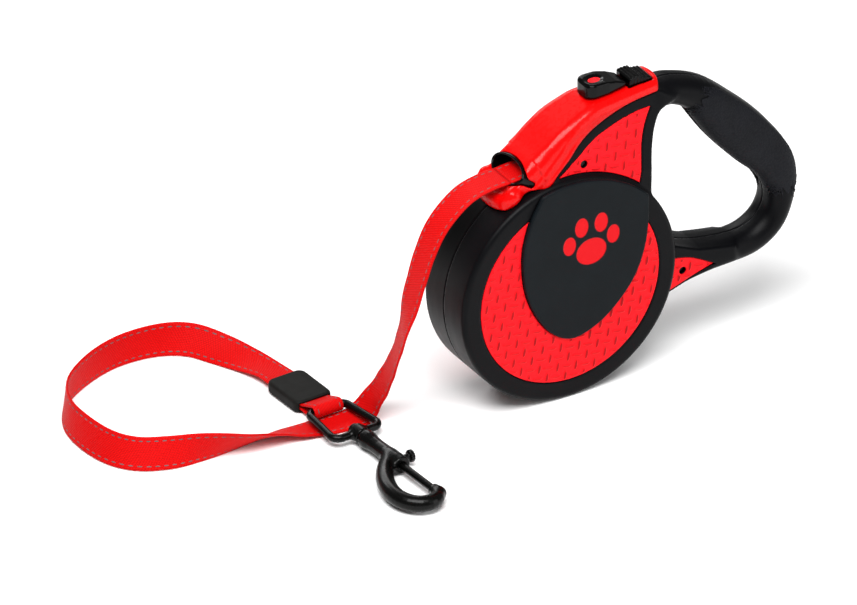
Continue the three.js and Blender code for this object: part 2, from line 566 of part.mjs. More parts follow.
function bolt() {
  const pin = rod(2.2, -104.8, KNOB_Y + 2.8, 0, RING_Z, 12);
  const stud = new THREE.CylinderGeometry(STUD_R, STUD_R, 9, 12).rotateZ(Math.PI / 2);
  const thumb = new THREE.CylinderGeometry(3.4, 3.4, 2.6, 14).rotateZ(Math.PI / 2);
  const parts = [stud.translate(4.5, KNOB_Y, RING_Z), thumb.translate(9.8, KNOB_Y, RING_Z)];
  return joined(solid(pin), ...parts.map(solid));
}
put('bolt', bolt(), FINISH.blackSteel, clip);
const boltSpring = coil(1.8, 0.6, 3, 3.6).rotateX(Math.PI / 2).translate(0, -51, RING_Z);
put('bolt_spring', boltSpring, FINISH.steel, clip);

export default leash;
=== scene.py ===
"""Looks of the retractable leash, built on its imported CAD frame.

Lengths inside the script are millimetres about the drum's centre, with X towards the grip, Y from
the front cover to the back cover and Z up; place() turns them into the frame's metres. The snap
clip has the same axes of its own: its Y runs from the hook to the sleeve.
"""

import functools
import json
import math

import bpy
import numpy as np
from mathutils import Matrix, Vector


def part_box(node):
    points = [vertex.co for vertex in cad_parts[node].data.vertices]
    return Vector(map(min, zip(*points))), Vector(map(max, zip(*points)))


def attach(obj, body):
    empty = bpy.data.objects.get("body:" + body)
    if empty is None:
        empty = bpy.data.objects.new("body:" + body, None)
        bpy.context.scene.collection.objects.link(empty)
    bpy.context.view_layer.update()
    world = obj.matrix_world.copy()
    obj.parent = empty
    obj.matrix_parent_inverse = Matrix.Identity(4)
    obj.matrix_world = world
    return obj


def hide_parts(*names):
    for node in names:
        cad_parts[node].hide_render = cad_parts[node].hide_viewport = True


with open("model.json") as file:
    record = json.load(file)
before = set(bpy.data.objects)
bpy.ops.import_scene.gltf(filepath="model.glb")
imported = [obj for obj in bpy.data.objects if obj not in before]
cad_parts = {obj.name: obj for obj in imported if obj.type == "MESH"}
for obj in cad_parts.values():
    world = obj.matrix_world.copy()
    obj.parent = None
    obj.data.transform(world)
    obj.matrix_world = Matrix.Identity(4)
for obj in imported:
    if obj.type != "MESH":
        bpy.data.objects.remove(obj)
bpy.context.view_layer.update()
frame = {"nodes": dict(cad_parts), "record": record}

# ---- driving values ----
MM = 0.001
GAP = 0.3                     # between separate pieces
DRUM_R = 69.0
DRUM_HALF = 21.25             # half depth of the drum
PANEL_R = 57.5                # round edge of the crescent panels
PANEL_DEEP = 1.1              # depth of the panels' pockets
CAP_RISE = 2.4                # how far the egg-shaped covers stand off the drum
STRUT_HALF = 12.6             # half depth of the lower strut
GRIP_HALF = 12.4              # half depth of the handle
FLOOR = -DRUM_R
TAPE_W, TAPE_T = 19.0, 1.4
PIXELS_PER_MM = 1.81          # scale of the picture at the drum
VIEW = (-31.2, 30.5)          # azimuth and elevation of the picture, degrees
LENS = 1200.0


def middle(node):
    low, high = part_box(node)
    return (low + high) / 2


def joint(name):
    return next(j for j in frame["record"]["behaviour"]["joints"] if j["name"] == name)


DRUM = np.array(middle("wound_tape"))                    # the drum's centre in the frame
CLIP = np.array(joint("ring_swing")["pos_m"])            # middle of the ring's far bar
CLIP_Y = -np.array(joint("hook_swivel")["axis"])
CLIP_X = np.array([CLIP_Y[1], -CLIP_Y[0], 0.0])
CLIP_AXES = np.stack([CLIP_X, CLIP_Y, [0.0, 0.0, 1.0]])


def place(points):
    return np.asarray(points, float) * MM + DRUM


def place_clip(points):
    return np.asarray(points, float) * MM @ CLIP_AXES + CLIP


# ---- camera: the view of the picture, from far away ----
def add_camera():
    azimuth, elevation = (math.radians(a) for a in VIEW)
    back = Vector((math.sin(azimuth) * math.cos(elevation), -math.cos(azimuth) * math.cos(elevation),
                   math.sin(elevation)))
    turn = (-back).to_track_quat("-Z", "Y")
    right, up = turn @ Vector((1, 0, 0)), turn @ Vector((0, 1, 0))
    width = 857 / PIXELS_PER_MM * MM
    aim = Vector(DRUM) - right * 67.4 * MM - up * 16.5 * MM
    data = bpy.data.cameras.new("camera")
    data.lens = LENS
    data.sensor_width = 36
    camera = bpy.data.objects.new("camera", data)
    camera.location = aim + back * (width * LENS / data.sensor_width)
    camera.rotation_mode = "QUATERNION"
    camera.rotation_quaternion = turn
    data.clip_end = 100
    bpy.context.scene.view_settings.view_transform = "Standard"
    bpy.context.collection.objects.link(camera)
    bpy.context.scene.camera = camera


add_camera()


# ---- materials ----
class Nodes:
    """A material's node tree with short ways to add what the finishes below need."""

    def __init__(self, name, roughness=0.5, **sockets):
        self.material = bpy.data.materials.new(name)
        self.material.use_nodes = True
        self.tree = self.material.node_tree
        self.shader = self.tree.nodes["Principled BSDF"]
        self.shader.inputs["Roughness"].default_value = roughness
        for socket, value in sockets.items():
            self.shader.inputs[socket.replace("_", " ")].default_value = value
        self.coords = self.tree.nodes.new("ShaderNodeTexCoord")

    def link(self, source, target):
        self.tree.links.new(source, target)

    def math(self, operation, a, b=None, clamp=False):
        node = self.tree.nodes.new("ShaderNodeMath")
        node.operation = operation
        node.use_clamp = clamp
        for socket, value in zip(node.inputs, (a, b)):
            if value is None:
                continue
            if isinstance(value, (int, float)):
                socket.default_value = value
            else:
                self.link(value, socket)
        return node.outputs[0]

    def noise(self, scale, detail=3.0, source=None, stretch=(1, 1, 1)):
        mapping = self.tree.nodes.new("ShaderNodeMapping")
        mapping.inputs["Scale"].default_value = stretch
        self.link(source or self.coords.outputs["Object"], mapping.inputs["Vector"])
        node = self.tree.nodes.new("ShaderNodeTexNoise")
        node.inputs["Scale"].default_value = scale
        node.inputs["Detail"].default_value = detail
        self.link(mapping.outputs[0], node.inputs["Vector"])
        return node.outputs["Fac"]

    def grain(self, scale):
        node = self.tree.nodes.new("ShaderNodeTexVoronoi")
        node.inputs["Scale"].default_value = scale
        self.link(self.coords.outputs["Object"], node.inputs["Vector"])
        return node.outputs["Distance"]

    def ramp(self, value, low, high, at=(0.35, 0.65)):
        node = self.tree.nodes.new("ShaderNodeValToRGB")
        for element, colour, position in zip(node.color_ramp.elements, (low, high), at):
            element.color = (*colour, 1) if len(colour) == 3 else colour
            element.position = position
        self.link(value, node.inputs["Fac"])
        return node.outputs["Color"]

    def mix(self, share, a, b):
        node = self.tree.nodes.new("ShaderNodeMix")
        node.data_type = "RGBA"
        self.link(share, node.inputs["Factor"])
        for socket, value in ((node.inputs[6], a), (node.inputs[7], b)):
            if isinstance(value, tuple):
                socket.default_value = (*value, 1)
            else:
                self.link(value, socket)
        return node.outputs[2]

    def colour(self, output):
        self.link(output, self.shader.inputs["Base Color"])

    def rough(self, value, low, high):
        node = self.tree.nodes.new("ShaderNodeMapRange")
        node.inputs["To Min"].default_value = low
        node.inputs["To Max"].default_value = high
        self.link(value, node.inputs["Value"])
        self.link(node.outputs[0], self.shader.inputs["Roughness"])

    def bump(self, *heights, distance=0.1):
        """heights: pairs of a height and its strength; distance in millimetres"""
        normal = None
        for height, strength in heights:
            node = self.tree.nodes.new("ShaderNodeBump")
            node.inputs["Strength"].default_value = strength
            node.inputs["Distance"].default_value = distance * MM
            self.link(height, node.inputs["Height"])
            if normal is not None:
                self.link(normal, node.inputs["Normal"])
            normal = node.outputs[0]
        self.link(normal, self.shader.inputs["Normal"])


def shade(colour, factor):
    return tuple(c * factor for c in colour)


def moulded(name, colour, roughness, spark=0.25, **sockets):
    """spark-eroded moulded plastic: fine grain, faint cloudiness, a little scuffing"""
    n = Nodes(name, roughness, **sockets)
    cloud = n.noise(55, 4)
    scuff = n.noise(210, 6, stretch=(1, 1, 0.25))
    n.colour(n.ramp(cloud, shade(colour, 0.86), shade(colour, 1.16), (0.3, 0.7)))
    n.rough(scuff, roughness - 0.07, roughness + 0.09)
    n.bump((n.noise(2600, 2), spark), (n.noise(160, 2), spark * 0.35), distance=0.06)
    return n.material


def polished(name, colour, deep, roughness=0.13, peel=0.05, **sockets):
    """polished plastic: faint flow marks and orange peel under a clear shine"""
    n = Nodes(name, roughness, **sockets)
    flow = n.noise(18, 3, stretch=(1, 1, 0.5))
    n.colour(n.ramp(flow, deep, colour, (0.3, 0.66)))
    n.rough(n.noise(320, 5), roughness - 0.04, roughness + 0.07)
    n.bump((n.noise(240, 1), peel), (n.noise(1500, 2), peel * 0.4), distance=0.08)
    return n.material


def soft_touch(name, colour):
    """rubbery pad with a pebbled grain"""
    n = Nodes(name, 0.62, Specular_IOR_Level=0.12, Sheen_Weight=0.01, Sheen_Roughness=0.45)
    pebble = n.grain(900)
    n.colour(n.ramp(n.noise(70, 4), shade(colour, 0.84), shade(colour, 1.18)))
    n.rough(pebble, 0.5, 0.74)
    n.bump((pebble, 0.55), (n.noise(140, 3), 0.2), distance=0.22)
    return n.material


def tread(name, colour, low):
    """matt red rubbery plastic; painted shade darkens the raised bars, the upright ones more than the
    others
    """
    n = Nodes(name, 0.5, Specular_IOR_Level=0.12)
    height = n.tree.nodes.new("ShaderNodeAttribute")
    height.attribute_name = "relief"
    # painted shade: the stored bar share pulls the colour towards the darker second colour
    face = n.mix(height.outputs["Fac"], colour, low)
    cloudy = n.mix(n.ramp(n.noise(60, 4), (0, 0, 0), (0.16, 0.16, 0.16)), face, shade(colour, 0.8))
    n.colour(cloudy)
    n.rough(n.noise(300, 4), 0.42, 0.6)
    n.bump((n.noise(2400, 2), 0.22), distance=0.06)
    return n.material


def woven(name, colour, groove_shade):
    """webbing: ribs of yarn across the tape, floats along it, with painted shade in the grooves between
    them; reads the millimetres in the UV map
    """
    n = Nodes(name, 0.55, Specular_IOR_Level=0.08, Sheen_Weight=0.015, Sheen_Roughness=0.4)
    uv = n.tree.nodes.new("ShaderNodeUVMap")
    uv.uv_map = "weave"
    split = n.tree.nodes.new("ShaderNodeSeparateXYZ")
    n.link(uv.outputs[0], split.inputs[0])
    across, along = split.outputs[0], split.outputs[1]
    # yarns 0.95 mm wide; each one's floats are shifted by a third against its neighbour's
    yarn = n.math("MULTIPLY", across, 1 / 0.95)
    index = n.math("FLOOR", yarn)
    shift = n.math("MULTIPLY", index, 1 / 3)
    step = n.math("ADD", n.math("MULTIPLY", along, 1 / 1.5), shift)
    round_yarn = n.math("SINE", n.math("MULTIPLY", n.math("FRACT", yarn), math.pi))
    round_float = n.math("SINE", n.math("MULTIPLY", n.math("FRACT", step), math.pi))
    height = n.math("MULTIPLY", n.math("POWER", round_yarn, 0.7), n.math("POWER", round_float, 0.5))
    fibre = n.noise(0.9, 3, source=uv.outputs[0], stretch=(7, 0.8, 1))
    wear = n.noise(38, 4)
    # painted shade: the weave's low parts between yarns and floats take the darker colour
    base = n.mix(height, groove_shade, colour)
    n.colour(n.mix(n.ramp(wear, (0, 0, 0), (0.2, 0.2, 0.2)), base, shade(colour, 0.72)))
    n.rough(fibre, 0.42, 0.7)
    n.bump((height, 0.75), (fibre, 0.25), distance=0.16)
    return n.material


def badged(name, colour, mark):
    """moulded plastic with a printed mark where the attribute "badge" is 1"""
    n = Nodes(name, 0.45, Specular_IOR_Level=0.09)
    badge = n.tree.nodes.new("ShaderNodeAttribute")
    badge.attribute_name = "badge"
    plain = n.ramp(n.noise(55, 4), shade(colour, 0.86), shade(colour, 1.16), (0.3, 0.7))
    n.colour(n.mix(badge.outputs["Fac"], plain, mark))
    n.rough(n.noise(210, 6, stretch=(1, 1, 0.25)), 0.38, 0.54)
    n.bump((n.noise(2600, 2), 0.25), (n.noise(160, 2), 0.09), distance=0.06)
    return n.material


def metal(name, colour, roughness=0.3, **sockets):
    """cast or turned metal: fine scratches and faint pitting"""
    n = Nodes(name, roughness, **sockets)
    scratch = n.noise(500, 6, stretch=(1, 0.08, 1))
    n.colour(n.ramp(n.noise(90, 4), shade(colour, 0.8), shade(colour, 1.2)))
    n.rough(scratch, roughness - 0.08, roughness + 0.14)
    n.bump((scratch, 0.12), (n.noise(260, 3), 0.22), distance=0.06)
    return n.material


RED = (0.68, 0.0012, 0.0015)
LOOK = {
    "black_plastic": moulded("black_plastic", (0.0018, 0.0019, 0.0025), 0.4, Specular_IOR_Level=0.08),
    "egg_plastic": badged("egg_plastic", (0.003, 0.0048, 0.0062), (0.6, 0.004, 0.008)),
    "gloss_black": polished("gloss_black", (0.0008, 0.0008, 0.0008), (0.0006, 0.0006, 0.0006), 0.1,
                            Specular_IOR_Level=0.14),
    "soft_grip": soft_touch("soft_grip", (0.0038, 0.0042, 0.0062)),
    # the second colour is the painted shade on the raised bars
    "red_panel": tread("red_panel", (0.88, 0.004, 0.010), (0.2, 0.0006, 0.001)),
    "red_gloss": polished("red_gloss", (0.64, 0.001, 0.0012), (0.54, 0.001, 0.001), 0.26,
                          Specular_IOR_Level=0.09, Coat_Weight=0.16, Coat_Roughness=0.12),
    # the second colour is the painted shade in the weave's grooves
    "webbing": woven("webbing", RED, (0.38, 0.001, 0.001)),
    "black_rubber": moulded("black_rubber", (0.0058, 0.0058, 0.0052), 0.6, 0.4, Specular_IOR_Level=0.1),
    "black_steel": metal("black_steel", (0.001, 0.001, 0.0009), 0.26, Specular_IOR_Level=0.12,
                         Coat_Weight=0.06, Coat_Roughness=0.15),
    "steel": metal("steel", (0.55, 0.55, 0.56), 0.28, Metallic=1.0),
    "screw_steel": metal("screw_steel", (0.03, 0.028, 0.028), 0.5, Metallic=0.5),
    "acetal": moulded("acetal", (0.62, 0.6, 0.56), 0.4, 0.15),
    "thread": metal("thread", (0.11, 0.08, 0.085), 0.5, Specular_IOR_Level=0.2),
}


# ---- mesh helpers ----
def add_mesh(name, points, faces, look, smooth=True):
    mesh = bpy.data.meshes.new(name)
    mesh.from_pydata([tuple(p) for p in points], [], [tuple(f) for f in faces])
    mesh.update()
    if smooth:
        mesh.polygons.foreach_set("use_smooth", [True] * len(mesh.polygons))
    mesh.materials.append(LOOK[look])
    piece = bpy.data.objects.new(name, mesh)
    bpy.context.collection.objects.link(piece)
    return piece


def finish_piece(piece, body, slot, *nodes):
    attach(piece, body)
    if nodes:
        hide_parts(*nodes)
    return piece


def spline(points, per_span=8):
    """points on a Catmull-Rom line through the given ones"""
    p = np.asarray(points, float)
    p = np.vstack([2 * p[0] - p[1], p, 2 * p[-1] - p[-2]])
    t = np.linspace(0, 1, per_span, endpoint=False)[:, None]
    spans = [0.5 * (2 * b + (c - a) * t + (2 * a - 5 * b + 4 * c - d) * t ** 2
                    + (3 * b - a - 3 * c + d) * t ** 3)
             for a, b, c, d in zip(p[:-3], p[1:-2], p[2:-1], p[3:])]
    return np.vstack([*spans, p[-2:-1]])


def arc(radius, start, end, steps):
    a = np.radians(np.linspace(start, end, steps + 1))
    return np.stack([radius * np.cos(a), radius * np.sin(a)], 1)


# ---- distance fields: negative inside, in millimetres ----
def outline(points, x, z):
    """signed distance to a closed outline in the XZ plane"""
    near = np.full(np.broadcast(x, z).shape, 1e9)
    inside = np.zeros(near.shape, bool)
    for (ax, az), (bx, bz) in zip(points, np.roll(points, -1, 0)):
        ex, ez = bx - ax, bz - az
        if ex == 0 and ez == 0:
            continue
        t = np.clip(((x - ax) * ex + (z - az) * ez) / (ex * ex + ez * ez), 0, 1)
        near = np.minimum(near, (x - ax - ex * t) ** 2 + (z - az - ez * t) ** 2)
        if ez != 0:
            inside ^= ((az > z) != (bz > z)) & (x < ex * (z - az) / ez + ax)
    return np.where(inside, -1, 1) * np.sqrt(near)


def line(points, x, z):
    """distance to an open line in the XZ plane, and the share of its length at the nearest point"""
    points = np.asarray(points, float)
    lengths = np.hypot(*np.diff(points, axis=0).T)
    starts = np.concatenate([[0], np.cumsum(lengths)])
    near = np.full(np.broadcast(x, z).shape, 1e9)
    share = np.zeros(near.shape)
    for (ax, az), (bx, bz), start, length in zip(points[:-1], points[1:], starts, lengths):
        ex, ez = bx - ax, bz - az
        t = np.clip(((x - ax) * ex + (z - az) * ez) / (length * length), 0, 1)
        d = (x - ax - ex * t) ** 2 + (z - az - ez * t) ** 2
        share = np.where(d < near, (start + t * length) / starts[-1], share)
        near = np.minimum(near, d)
    return np.sqrt(near), share


def wire(points, x, y, z):
    """distance to an open line in space"""
    near = 1e9
    for a, b in zip(points[:-1], points[1:]):
        e = b - a
        t = np.clip(((x - a[0]) * e[0] + (y - a[1]) * e[1] + (z - a[2]) * e[2]) / (e @ e), 0, 1)
        near = np.minimum(near, (x - a[0] - e[0] * t) ** 2 + (y - a[1] - e[1] * t) ** 2
                          + (z - a[2] - e[2] * t) ** 2)
    return np.sqrt(near)


def both(a, b, radius=0.0):
    """intersection, with its edge rounded"""
    if not radius:
        return np.maximum(a, b)
    corner = np.hypot(np.maximum(a + radius, 0), np.maximum(b + radius, 0))
    return np.minimum(-radius, np.maximum(a, b)) + corner


def either(a, b, blend=0.0):
    """union, with its inner corner filled"""
    if not blend:
        return np.minimum(a, b)
    h = np.maximum(blend - np.abs(a - b), 0) / blend
    return np.minimum(a, b) - h * h * blend / 4


def without(a, b, radius=0.0):
    return both(a, -b, radius)


def largest(*fields):
    return functools.reduce(np.maximum, fields)


def smallest(*fields):
    return functools.reduce(np.minimum, fields)


def slab(value, low, high):
    return np.maximum(low - value, value - high)


def oval(u, v, a, b):
    """near an ellipse, its signed distance"""
    k0 = np.hypot(u / a, v / b)
    k1 = np.hypot(u / a ** 2, v / b ** 2)
    return k0 * (k0 - 1) / np.maximum(k1, 1e-9)


def ramp(value, low, high):
    t = np.clip((value - low) / (high - low), 0, 1)
    return t * t * (3 - 2 * t)


def surface(field, low, high, step):
    """points and quads of the field's zero level, by surface nets"""
    axes = [np.arange(a - 2 * step, b + 3 * step, step) for a, b in zip(low, high)]
    x, y, z = np.meshgrid(*axes, indexing="ij", sparse=True)
    shape = tuple(len(a) for a in axes)
    d = np.broadcast_to(field(x, y, z), shape).astype(np.float32)
    d = np.where(d == 0, 1e-6, d)
    cells = tuple(n - 1 for n in shape)
    total = np.zeros((3, np.prod(cells)))
    count = np.zeros(np.prod(cells))
    quads = []
    for axis in range(3):
        a = np.take(d, range(shape[axis] - 1), axis)
        b = np.take(d, range(1, shape[axis]), axis)
        at = np.stack(np.nonzero((a < 0) != (b < 0)))
        va, vb = a[tuple(at)], b[tuple(at)]
        point = at.astype(float)
        point[axis] += va / (va - vb)
        u, v = (axis + 1) % 3, (axis + 2) % 3
        ring = []
        for du, dv in ((-1, -1), (0, -1), (0, 0), (-1, 0)):
            cell = at.copy()
            cell[u] += du
            cell[v] += dv
            ids = np.ravel_multi_index(np.clip(cell, 0, np.array(cells)[:, None] - 1), cells)
            ring.append(ids)
            count += np.bincount(ids, minlength=len(count))
            for k in range(3):
                total[k] += np.bincount(ids, point[k], len(count))
        quad = np.stack(ring, 1)
        quads.append(np.where((va < 0)[:, None], quad, quad[:, ::-1]))
    used = np.nonzero(count)[0]
    renumber = np.zeros(len(count), int)
    renumber[used] = np.arange(len(used))
    points = (total[:, used] / count[used]).T * step + [a[0] for a in axes]
    return points, renumber[np.vstack(quads)]


def settle(field, points, rounds=2, reach=0.2):
    """moves points onto the field's zero level"""
    for _ in range(rounds):
        p = points.T
        value = field(*p)
        slope = np.stack([field(*(p + shift[:, None])) - field(*(p - shift[:, None]))
                          for shift in np.eye(3) * reach]) / (2 * reach)
        points = points - (value * slope / np.maximum((slope ** 2).sum(0), 0.2)).T
    return points


def carve(name, field, low, high, step, look, to_frame=place, rounds=1):
    points, quads = surface(field, low, high, step)
    if rounds:
        points = settle(field, points, rounds)
    return add_mesh(name, to_frame(points), quads, look)


# ---- outlines, as [x, z] ----
RIB = np.array([[-12.4, 66.4], [-5.7, 73.6], [1.4, 80.6], [10.1, 89.2], [20.7, 95.2], [33.7, 99.6],
                [46.7, 102.2], [63, 103.5]])
BASE = spline(np.vstack([[[-41, 57.8], [-31, 63.3], [-22, 66.9]], RIB]), 4)
RIDGE = spline([[-24, 80.5], [-17, 85], [-11, 89.5], [-4, 94.8], [2, 98.6], [10, 102.4], [20, 106],
                [34, 107.2], [48, 108.3], [63, 109.4]], 4)
WING = np.vstack([spline([[30, 30], [52, 38], [54.3, 48], [54.6, 62], [56, 74], [58.5, 84], [63, 92],
                          [72, 97]], 3), RIB[::-1], [[-14, 50]]])
STRUT = np.array([[55, 6], [58, -26], [62.5, -30.3], [80, -24.6], [99, -20.5], [112, -19], [112, -11],
                  [90, -6.5], [75, 0]])
UPPER = np.vstack([arc(70.2, 94, 49, 14), spline([[46.1, 53.2], [47.4, 62], [48.6, 76], [51.5, 87],
                   [56, 96.4]], 4)[1:], spline([[56, 96.4], [45, 95.4], [31, 91.8], [18.5, 86.6], [8, 79],
                                                [-4.9, 70]], 4)[1:-1]])
LOWER = np.vstack([arc(70, -24, -5, 6), spline([[69.7, -6.1], [84, -9.6], [98.5, -17.4]], 4)[1:],
                   spline([[98.5, -17.4], [84, -21.6], [64, -28.5]], 4)[1:-1]])
EGG = np.vstack([arc(67.8, 43, 106, 20),
                 spline([[-19.6, 64.2], [-27, 50], [-31.6, 29], [-28.6, 3], [-17, -19.5], [-2, -30.5],
                         [13, -28], [27, -19], [40, -4], [47, 13], [49.5, 30], [49.8, 45]], 4)[:-1]])
GRIP_LINE = spline([[66, 96.6], [77, 95.4], [93, 87.2], [110, 69], [127.2, 50], [141.3, 32.5], [146.5, 13],
                    [141.3, -4.6], [127, -14.8], [106, -16.4], [84, -13.8], [62, -9.5]], 6)
SCREW_HOLES = ((11.4, 73.9), (78.4, -16.4))


def wing_half(z):
    """half depth of the arch, thinner towards its top"""
    return np.interp(np.clip(z, 60, 130), [60, 105, 130], [19, 12.5, 8.9])


# ---- housing ----
def grip_offset(x, z):
    """distance from the grip's middle line, positive outside the loop, and the share along it"""
    distance, share = line(GRIP_LINE, x, z)
    side = np.sign(outline(GRIP_LINE, x, z))
    return distance * side, share


def grip_half(share):
    swell = np.sin(np.pi * np.clip((share - 0.04) / 0.56, 0, 1))
    return 8.1 + 6 * swell ** 1.5


def grip_bar(x, y, z):
    offset, share = grip_offset(x, z)
    half = grip_half(share)
    bar = oval(offset, y, half, GRIP_HALF)
    boxy = both(np.abs(offset) - half * 0.985, np.abs(y) - GRIP_HALF * 0.97, 7.5)
    return 0.5 * (bar + boxy)


def hull(x, y, z):
    """outside of the whole housing"""
    deep = np.abs(y)
    drum = both(np.hypot(x, z) - DRUM_R, deep - DRUM_HALF, 2.8)
    wing = both(outline(WING, x, z), deep - wing_half(z), 1.6)
    strut = both(outline(STRUT, x, z), deep - STRUT_HALF, 1.6)
    return either(either(either(drum, wing, 1.5), strut, 2.5), grip_bar(x, y, z), 5.0)


def screw_holes(x, z, radius):
    return smallest(*(np.hypot(x - a, z - b) - radius for a, b in SCREW_HOLES))


def pockets(x, y, z):
    """hollows for the panels and the screw heads"""
    deep = np.abs(y)
    crescent = largest(np.hypot(x, z) - PANEL_R - 0.35, -outline(EGG, x, z) - 0.3,
                       DRUM_HALF - PANEL_DEEP - deep)
    upper = np.maximum(outline(UPPER, x, z) - 0.35, wing_half(z) - PANEL_DEEP - deep)
    lower = np.maximum(outline(LOWER, x, z) - 0.35, STRUT_HALF - PANEL_DEEP - deep)
    holes = np.maximum(screw_holes(x, z, 2.5), 7.3 - deep)
    return smallest(crescent, upper, lower, holes)


def cavity(x, y, z):
    """room for the reel"""
    return both(np.hypot(x, z) - (DRUM_R - 2.6), np.abs(y) - (DRUM_HALF - 2.6), 3)


def shell(side):
    def field(x, y, z):
        body = without(hull(x, y, z), pockets(x, y, z), 0.25)
        body = np.maximum(body, -(hood(x, y, z) - GAP))
        body = np.maximum(body, -cavity(x, y, z))
        return both(body, 0.12 - side * y, 0.35)
    return field


# ---- top cover ----
def cover_half(share):
    return np.interp(share, [0, 0.14, 0.3, 0.42, 0.6, 0.8, 1], [17.2, 17.2, 18.6, 18.4, 15.8, 13.6, 12.5])


MOUTH = np.array([-28.0, 75.0])        # middle of the tape mouth
MOUTH_LEAN = np.array([0.6, 0.8])      # up along the mouth's plane
LIP = np.array([[-33 - 5 * math.sin(a), 14 * math.cos(a), 66 - 6 * math.sin(a)]
                for a in np.linspace(0, math.pi, 17)])


def mouth(x, y, z, a, b):
    """the oval bore of the mouth and how far a point is outside the mouth's plane"""
    up = (x - MOUTH[0]) * MOUTH_LEAN[0] + (z - MOUTH[1]) * MOUTH_LEAN[1]
    out = -(x - MOUTH[0]) * MOUTH_LEAN[1] + (z - MOUTH[1]) * MOUTH_LEAN[0]
    return oval(y, up, a, b), out


def hood(x, y, z):
    deep = np.abs(y)
    below_ridge = outline(np.vstack([RIDGE, [[90, 109.4], [90, -60], [-80, -60], [-80, 45]]]), x, z)
    above_base = outline(np.vstack([BASE, [[90, 103.5], [90, 160], [-90, 160], [-90, 30]]]), x, z)
    share = line(BASE, x, z)[1]
    pleat = (x + 19.6) * 0.72 - (z - 69.9) * 0.69          # distance right of the crease at the nozzle
    fade = 1 - ramp(z, 84, 99)
    half = cover_half(share) - fade * (0.9 * (1 - ramp(pleat, -1.2, 1.4)) + 0.7 * (1 - ramp(pleat, 4, 6.6)))
    body = both(both(below_ridge, deep - half, 6.5), above_base, 1.0)
    out = mouth(x, y, z, 1, 1)[1]
    body = both(body, out, 2.0)
    body = both(body, x - 65.5 + 0.06 * deep ** 2 * 0.4, 1.2)
    return either(body, wire(LIP, x, y, z) - 4.6, 3.0)


def top_cover(x, y, z):
    bore, out = mouth(x, y, z, 15.9, 7.9)
    tunnel = np.maximum(bore, -out - 13)
    slot = largest(slab(x, 24.5, 36.5), np.abs(y) - 4, 98 - z)
    well = largest(slab(x, 45.5, 62), np.abs(y) - 7.9, 98 - z)
    return without(without(hood(x, y, z), tunnel, 0.8), np.minimum(slot, well), 0.3)


def liner(x, y, z):
    outer, out = mouth(x, y, z, 15.6, 7.6)
    inner = mouth(x, y, z, 14.0, 6.1)[0]
    return both(both(outer, -inner, 0.5), slab(out, -12.5, 0.4), 0.6)


# ---- raised-bar panels ----
TREAD_PITCH = 6.0
TREAD_TURN = math.radians(-10)


def bars(x, z, level=1.0):
    """0 between the bars of the tread plate, 1 on the upright ones and `level` on the others"""
    u = (x * math.cos(TREAD_TURN) + z * math.sin(TREAD_TURN)) / TREAD_PITCH
    v = (-x * math.sin(TREAD_TURN) + z * math.cos(TREAD_TURN)) / TREAD_PITCH
    i, j = np.round(u), np.round(v)
    upright = (i + j) % 2 == 0
    du, dv = (u - i) * TREAD_PITCH, (v - j) * TREAD_PITCH
    long, short = np.where(upright, dv, du), np.where(upright, du, dv)
    bar = oval(short, long, 1.05, 3.1)
    return (1 - ramp(bar, -0.7, 0.25)) * np.where(upright, 1.0, level)


def panel(rim, front, rise=0.55):
    """rim(x, z): the outline's distance; front(z): depth of the face"""
    def field(x, y, z):
        edge = rim(x, z)
        relief = rise * bars(x, z) * (1 - ramp(edge, -1.6, -0.7))
        top = np.abs(y) - (front(z) - 0.15) - relief
        plate = both(both(edge, top, 0.5), front(z) - PANEL_DEEP + 0.1 - np.abs(y))
        return plate
    return field


def one_side(field, side):
    return lambda x, y, z: np.maximum(field(x, y, z), -side * y)


def add_panel(name, rim, front, side, low, high):
    x0, z0 = low
    x1, z1 = high
    depths = [side * (front(z) + reach) for z in (z0, z1) for reach in (1.2, -2.5)]
    field = one_side(panel(rim, front), side)
    piece = carve(name, field, (x0, min(depths), z0), (x1, max(depths), z1), 0.4, "red_panel")
    # marks the bars for the painted shade in the colour
    mark_painted_bar_shade(piece, rim)
    return finish_piece(piece, "housing", "red_panel", name)


def mark_painted_bar_shade(piece, rim):
    """stores how much of each vertex lies on a bar's flank or top, half as much on the cross bars; the
    colour paints shade with it
    """
    points = (np.array([v.co for v in piece.data.vertices]) - DRUM) / MM
    x, z = points[:, 0], points[:, 2]
    value = bars(x, z, 0.5) * (1 - ramp(rim(x, z), -1.6, -0.7))
    attribute = piece.data.attributes.new("relief", "FLOAT", "POINT")
    attribute.data.foreach_set("value", (0.9 * value).astype(np.float32))


def crescent_rim(x, z):
    return np.maximum(np.hypot(x, z) - PANEL_R, 0.15 - outline(EGG, x, z))


def upper_rim(x, z):
    return without(outline(UPPER, x, z), screw_holes(x, z, 2.3))


def lower_rim(x, z):
    return without(outline(LOWER, x, z), screw_holes(x, z, 2.3))


# ---- egg-shaped covers, with a paw print in place of a badge ----
PAW = [((12, 22), (9.6, 8.1)), ((-2.1, 29), (4.0, 5.7)), ((5.7, 38.6), (4.2, 6.0)),
       ((18.3, 38.6), (4.2, 6.0)), ((26.1, 29), (4.0, 5.7))]


def paw(x, z):
    return smallest(*(oval(x - cx, z - cz, a, b) for (cx, cz), (a, b) in PAW))


def egg_cover(side):
    def field(x, y, z):
        edge = outline(EGG, x, z)
        top = np.abs(y) - (DRUM_HALF + CAP_RISE)
        badge = 0.25 * (1 - ramp(paw(x, z), -0.3, 0.3))
        body = both(both(edge, top + badge, 1.3), DRUM_HALF + 0.2 - np.abs(y))
        return np.maximum(body, -side * y)
    return field


